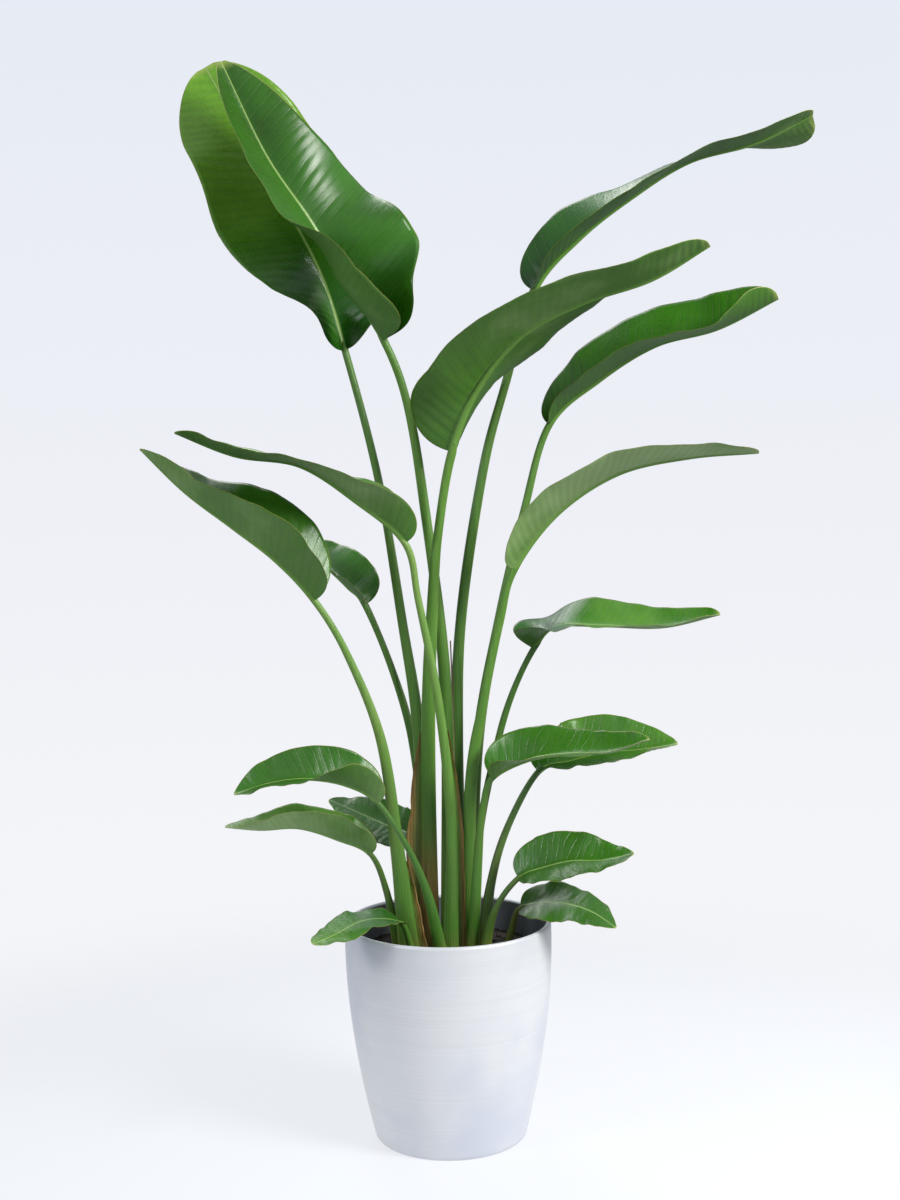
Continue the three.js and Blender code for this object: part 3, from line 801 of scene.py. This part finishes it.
def colour_ramp(tree, value, stops):
    """Colours at places from 0 to 1, blended between."""
    node = tree.nodes.new("ShaderNodeValToRGB")
    tree.links.new(value, node.inputs["Fac"])
    points = node.color_ramp.elements
    while len(points) < len(stops):
        points.new(0.5)
    for point, (place, colour) in zip(points, stops):
        point.position = place
        point.color = (*colour, 1)
    return node.outputs["Color"]


class Finish:
    """A material under construction, with short ways to add its nodes."""

    def __init__(self, name):
        self.material = bpy.data.materials.new(name)
        self.material.use_nodes = True
        self.tree = self.material.node_tree
        self.shader = self.tree.nodes["Principled BSDF"]

    def plug(self, socket, value):
        if isinstance(value, bpy.types.NodeSocket):
            self.tree.links.new(value, socket)
        elif isinstance(value, tuple) and len(value) == 3 and socket.type == "RGBA":
            socket.default_value = (*value, 1)
        else:
            socket.default_value = value

    def math(self, operation, *values, clamp=False):
        node = self.tree.nodes.new("ShaderNodeMath")
        node.operation = operation
        node.use_clamp = clamp
        for socket, value in zip(node.inputs, values):
            self.plug(socket, value)
        return node.outputs[0]

    def times(self, a, b):
        return self.math("MULTIPLY", a, b)

    def add(self, base, value, weight, clamp=False):
        """The base plus the value times its weight."""
        return self.math("MULTIPLY_ADD", value, weight, base, clamp=clamp)

    def vary(self, base, noise, amount, clamp=False):
        """The base, moved up and down by a noise that lies around a half."""
        return self.add(base, self.math("SUBTRACT", noise, 0.5), amount, clamp=clamp)

    def step(self, value, low, high):
        """0 below `low`, 1 above `high`, smooth between. Swapped ends turn it round."""
        node = self.tree.nodes.new("ShaderNodeMapRange")
        node.interpolation_type = "SMOOTHSTEP"
        self.plug(node.inputs["Value"], value)
        node.inputs["From Min"].default_value = min(low, high)
        node.inputs["From Max"].default_value = max(low, high)
        node.inputs["To Min"].default_value = 0 if low < high else 1
        node.inputs["To Max"].default_value = 1 if low < high else 0
        return node.outputs["Result"]

    def mix(self, share, a, b, blend="MIX"):
        node = self.tree.nodes.new("ShaderNodeMix")
        node.data_type = "RGBA"
        node.blend_type = blend
        self.plug(node.inputs["Factor"], share)
        self.plug(node.inputs[6], a)
        self.plug(node.inputs[7], b)
        return node.outputs[2]

    def ramp(self, value, *stops):
        return colour_ramp(self.tree, value, stops)

    def attribute(self, name):
        node = self.tree.nodes.new("ShaderNodeAttribute")
        node.attribute_name = name
        return node.outputs["Fac"]

    def position(self):
        return self.tree.nodes.new("ShaderNodeTexCoord").outputs["Object"]

    def noise(self, where, scale, detail=3, stretch=(1, 1, 1)):
        mapping = self.tree.nodes.new("ShaderNodeMapping")
        mapping.inputs["Scale"].default_value = stretch
        self.tree.links.new(where, mapping.inputs["Vector"])
        node = self.tree.nodes.new("ShaderNodeTexNoise")
        node.inputs["Scale"].default_value = scale
        node.inputs["Detail"].default_value = detail
        self.tree.links.new(mapping.outputs[0], node.inputs["Vector"])
        return node.outputs["Fac"]

    def bump(self, height, distance):
        node = self.tree.nodes.new("ShaderNodeBump")
        node.inputs["Strength"].default_value = 1
        node.inputs["Distance"].default_value = distance
        self.plug(node.inputs["Height"], height)
        self.plug(self.shader.inputs["Normal"], node.outputs[0])

    def set(self, **values):
        for name, value in values.items():
            self.plug(self.shader.inputs[name.replace("_", " ")], value)


def blade_material():
    """Leathery leaf: glossy deep green above with pale side veins, greyer and duller beneath. Where its tone
    runs light it also carries painted light: a pale sheen, and the yellow-green of light shining through the
    blade.
    """
    finish = Finish("blade_leather")
    upper = finish.attribute("upper")
    vein = finish.attribute("vein")
    share = finish.attribute("share")
    where = finish.position()
    patches = finish.noise(where, 14, 4)
    mottle = finish.noise(where, 160, 4)

    shade = finish.vary(finish.attribute("light"), patches, 0.8)
    above = finish.ramp(
        shade, (0, (0.001, 0.030, 0.001)), (0.5, (0.013, 0.120, 0.003)), (1, (0.120, 0.28, 0.040))
    )
    # Under face: its pale grey-green top colours, reached where "light" runs high, are in part its own grey
    # and in part a painted sheen.
    beneath = finish.ramp(
        shade, (0, (0.006, 0.050, 0.003)), (0.5, (0.048, 0.160, 0.014)), (1, (0.29, 0.41, 0.180))
    )
    green = finish.mix(upper, beneath, above)
    # Yellow-green set by the "yellow" values: the blade's own yellowing, and on leaf a painted light shining
    # through the blade.
    yellowing_and_backlight = finish.mix(finish.step(mottle, 0.3, 0.8), (0.13, 0.34, 0.008), (0.20, 0.42, 0.016))
    green = finish.mix(finish.attribute("yellow"), green, yellowing_and_backlight)

    # Side veins: a pale line at each whole number, fine lines between, and a darker band midway
    line = finish.math("PINGPONG", vein, 0.5)
    main_vein = finish.step(line, 0.47, 0.5)
    fine_veins = finish.math("SINE", finish.times(vein, 2 * math.pi * FINE_VEINS))
    green = finish.mix(finish.times(finish.step(fine_veins, 0, 1), 0.10), green, (0.16, 0.36, 0.05))
    green = finish.mix(finish.times(main_vein, 0.32), green, (0.22, 0.42, 0.08))
    green = finish.mix(finish.times(finish.step(line, 0, 0.5), 0.22), green, (0.5, 0.5, 0.5), "MULTIPLY")

    # Rib, dry margin and pale tip
    rib_green = finish.mix(upper, (0.14, 0.30, 0.045), (0.30, 0.46, 0.12))
    green = finish.mix(finish.times(finish.attribute("rib"), 0.85), green, rib_green)
    edge = finish.step(finish.add(finish.attribute("margin"), mottle, 0.8), 1.6, 0.6)
    dry = finish.mix(finish.step(share, 0.85, 1.0), (0.26, 0.22, 0.05), (0.55, 0.50, 0.22))
    green = finish.mix(finish.times(edge, 0.75), green, dry)
    green = finish.mix(finish.times(finish.step(share, 0.97, 1.0), 0.6), green, (0.34, 0.42, 0.10))

    gloss = finish.add(finish.add(finish.add(0.46, upper, -0.24), patches, 0.08), mottle, 0.05)
    finish.set(Base_Color=green, Roughness=gloss, Specular_IOR_Level=0.5)
    relief = finish.add(finish.times(fine_veins, 0.35), main_vein, -1.0)
    finish.bump(finish.add(relief, mottle, 0.1), 0.00012)
    return finish.material


def stalk_material():
    """Fleshy ribbed stalk: mid green, deeper and ruddy low down, with a painted sheen along both flanks and
    dry orange-brown sheath edges.
    """
    finish = Finish("stalk_fibre")
    around = finish.attribute("around")
    height = finish.attribute("height")
    where = finish.position()
    patches = finish.noise(where, 9, 4, stretch=(1, 1, 0.25))
    streaks = finish.noise(where, 320, 3, stretch=(1, 1, 0.03))

    shade = finish.vary(finish.vary(finish.attribute("light"), patches, 0.45), streaks, 0.3)
    green = finish.ramp(
        shade, (0, (0.014, 0.062, 0.005)), (0.5, (0.105, 0.250, 0.032)), (1, (0.30, 0.46, 0.120))
    )
    green = finish.mix(finish.times(finish.step(height, 480, 60), 0.6), green, (0.035, 0.140, 0.008))
    # Paler yellow-green on both flanks, where the stalk's edges face the camera: a painted sheen.
    flank = finish.math("ABSOLUTE", finish.math("COSINE", finish.times(around, 2 * math.pi)))
    green = finish.mix(finish.times(finish.step(flank, 0.75, 1.0), 0.5), green, (0.22, 0.33, 0.075))
    ruddy = finish.times(finish.step(height, 300, 20), finish.step(patches, 0.42, 0.62))
    green = finish.mix(finish.times(ruddy, 0.65), green, (0.110, 0.085, 0.022))

    dry = finish.ramp(
        finish.add(streaks, patches, 0.4),
        (0.35, (0.09, 0.035, 0.014)),
        (0.65, (0.24, 0.13, 0.035)),
        (0.95, (0.46, 0.30, 0.09)),
    )
    dryness = finish.vary(finish.attribute("brown"), patches, 0.35, clamp=True)
    gloss = finish.add(finish.add(0.36, dryness, 0.25), streaks, 0.12)
    finish.set(Base_Color=finish.mix(dryness, green, dry), Roughness=gloss)
    ridges = finish.math("SINE", finish.times(around, 2 * math.pi * STALK_RIDGES))
    finish.bump(finish.add(streaks, ridges, 0.4), 0.00025)
    return finish.material


def new_leaf_material():
    """Papery dark-brown roll with lengthwise fibres."""
    finish = Finish("new_leaf_paper")
    where = finish.position()
    fibres = finish.noise(where, 500, 3, stretch=(1, 1, 0.02))
    patches = finish.noise(where, 25, 3, stretch=(1, 1, 0.2))
    brown = finish.ramp(
        finish.add(finish.times(fibres, 0.6), patches, 0.4),
        (0.3, (0.030, 0.018, 0.014)),
        (0.55, (0.095, 0.050, 0.030)),
        (0.8, (0.26, 0.15, 0.08)),
    )
    finish.set(Base_Color=brown, Roughness=finish.add(0.5, fibres, 0.2))
    finish.bump(fibres, 0.0004)
    return finish.material


def pot_material():
    """Satin silver-white coating with fine lines around it, with bluish patches of painted reflection, and
    duller and darker inside, where the dark grey is painted shade.
    """
    finish = Finish("pot_satin")
    where = finish.position()
    lines = finish.noise(where, 900, 2, stretch=(0.004, 0.004, 1))
    broad = finish.noise(where, 120, 3, stretch=(0.01, 0.01, 1))
    reflection_patches = finish.noise(where, 6, 3)
    grain = finish.add(finish.times(lines, 0.85), broad, 0.15)
    coat = finish.ramp(
        grain, (0.3, (0.63, 0.64, 0.66)), (0.5, (0.66, 0.67, 0.69)), (0.7, (0.69, 0.70, 0.72))
    )
    # Bluish grey patches: a painted reflection on the satin coat.
    coat = finish.mix(finish.times(finish.step(reflection_patches, 0.4, 0.7), 0.8), coat, (0.52, 0.55, 0.64))
    # Dark grey on the inside faces: painted shade within the pot.
    coat = finish.mix(finish.step(finish.attribute("inside"), 0.3, 0.7), coat, (0.19, 0.20, 0.23))
    finish.set(Base_Color=coat, Roughness=finish.add(0.28, grain, 0.25), Metallic=0.2)
    finish.bump(grain, 0.00005)
    return finish.material


def soil_material():
    """Damp, nearly black potting mix with flecks of bark."""
    finish = Finish("soil_mix")
    where = finish.position()
    coarse = finish.noise(where, 70, 6)
    fine = finish.noise(where, 500, 5)
    shade = finish.add(finish.times(coarse, 0.6), fine, 0.4)
    dark = finish.ramp(
        shade, (0.35, (0.008, 0.006, 0.005)), (0.55, (0.030, 0.021, 0.015)), (0.75, (0.11, 0.075, 0.05))
    )
    finish.set(Base_Color=dark, Roughness=finish.add(0.7, fine, 0.3))
    finish.bump(shade, 0.003)
    return finish.material


def floor_material():
    """Pale floor, lit evenly from within so that shadows stay faint, fading out into the backdrop."""
    finish = Finish("floor_pale")
    where = finish.position()
    distance = finish.tree.nodes.new("ShaderNodeVectorMath")
    distance.operation = "LENGTH"
    finish.tree.links.new(where, distance.inputs[0])
    fade = finish.step(distance.outputs["Value"], 1.5, 0.6)
    pale = finish.mix(finish.noise(where, 3, 3), (0.225, 0.23, 0.24), (0.235, 0.24, 0.25))
    finish.set(Base_Color=pale, Alpha=fade, Roughness=0.9, Specular_IOR_Level=0.1)
    finish.set(Emission_Color=(0.65, 0.66, 0.685), Emission_Strength=1.0)
    return finish.material


# ---------------------------------------------------------------- stage

def make_floor():
    profile = [(0, -FLOOR_DEPTH), (FLOOR_RADIUS, -FLOOR_DEPTH), (FLOOR_RADIUS, 0), (0, 0)]
    vertices, faces = lathe(profile, 96)
    return make_object("floor", vertices, faces)


def area_light(name, location, target, size, power, colour):
    data = bpy.data.lights.new(name, "AREA")
    data.shape = "DISK"
    data.size = size
    data.energy = power
    data.color = colour
    lamp = bpy.data.objects.new(name, data)
    bpy.context.scene.collection.objects.link(lamp)
    lamp.location = location
    lamp.rotation_euler = (Vector(target) - Vector(location)).to_track_quat("-Z", "Y").to_euler()


def sky_ramp(tree, height, *stops):
    """Colours by height in the sky, where -1 is straight down and 1 straight up."""
    place = tree.nodes.new("ShaderNodeMapRange")
    place.inputs["From Min"].default_value = -1
    tree.links.new(height, place.inputs["Value"])
    return colour_ramp(tree, place.outputs["Result"], [((level + 1) / 2, colour) for level, colour in stops])


def studio_world():
    """A plain pale backdrop to look at, and a light tent, brighter overhead, that lights the plant."""
    world = bpy.data.worlds.new("studio")
    world.use_nodes = True
    tree = world.node_tree
    seen = tree.nodes["Background"]
    tent = tree.nodes.new("ShaderNodeBackground")
    blend = tree.nodes.new("ShaderNodeMixShader")
    direction = tree.nodes.new("ShaderNodeSeparateXYZ")
    tree.links.new(tree.nodes.new("ShaderNodeTexCoord").outputs["Generated"], direction.inputs[0])
    height = direction.outputs["Z"]
    backdrop = sky_ramp(tree, height, (-0.2, BACKDROP_LOW), (0.0, BACKDROP_MIDDLE), (0.3, BACKDROP_HIGH))
    light = sky_ramp(tree, height, (-1.0, TENT_LOW), (-0.1, TENT_LOW), (0.35, TENT_MIDDLE), (1.0, TENT_HIGH))
    tree.links.new(backdrop, seen.inputs["Color"])
    tree.links.new(light, tent.inputs["Color"])
    tree.links.new(tree.nodes.new("ShaderNodeLightPath").outputs["Is Camera Ray"], blend.inputs[0])
    tree.links.new(tent.outputs[0], blend.inputs[1])
    tree.links.new(seen.outputs[0], blend.inputs[2])
    tree.links.new(blend.outputs[0], tree.nodes["World Output"].inputs["Surface"])
    bpy.context.scene.world = world


def light_scene():
    studio_world()
    area_light("key", (2.9, -2.0, 2.7), (0, 0, 0.8), size=1.7, power=195, colour=(1.0, 0.99, 0.96))
    area_light("window", (-2.6, -1.9, 1.9), (0, 0, 0.9), size=0.9, power=28, colour=(0.94, 0.97, 1.0))
    area_light("back", (-0.6, 2.2, 3.0), (0, 0, 0.9), size=1.6, power=26, colour=(1.0, 1.0, 0.98))
    bpy.context.scene.view_settings.view_transform = "Standard"


def place_camera():
    """Eye level just under a metre, a little over two metres off, looking slightly down."""
    pitch, pan, roll = (math.radians(a) for a in (3.75, 0.25, -0.9))
    level_reach = math.cos(pitch)
    forward = Vector((math.sin(pan) * level_reach, math.cos(pan) * level_reach, -math.sin(pitch)))
    level = Vector((math.cos(pan), -math.sin(pan), 0))
    above = level.cross(forward)
    right = level * math.cos(roll) + above * math.sin(roll)
    up = above * math.cos(roll) - level * math.sin(roll)
    data = bpy.data.cameras.new("camera")
    data.lens = 48.6
    data.sensor_width = 36
    camera = bpy.data.objects.new("camera", data)
    bpy.context.scene.collection.objects.link(camera)
    turn = Matrix((right, up, -forward)).transposed().to_4x4()
    camera.matrix_world = Matrix.Translation((0, -2.33, 0.936)) @ turn
    bpy.context.scene.camera = camera


# ---------------------------------------------------------------- the plant

def place(piece, node, slot, material):
    piece.data.materials.append(material)
    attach(piece, "root")
    if node:
        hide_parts(node)


blade_finish = blade_material()
stalk_finish = stalk_material()
for seed, (letter, leaf) in enumerate(LEAVES.items()):
    place(make_blade(f"leaf_{letter}", leaf, seed), f"blade_{letter}", "blade", blade_finish)
    place(make_stalk(f"petiole_{letter}", leaf, 100 + seed), f"stalk_{letter}", "stalk", stalk_finish)
place(make_new_leaf("rolled_leaf"), "new_leaf", "new_leaf", new_leaf_material())
place(make_pot("pot_shell"), "pot", "pot", pot_material())
soil_finish = soil_material()
place(make_soil("soil_bed"), "soil", "soil", soil_finish)
place(make_crumbs("soil_crumbs"), None, "soil", soil_finish)

floor = make_floor()
floor.data.materials.append(floor_material())
light_scene()
place_camera()
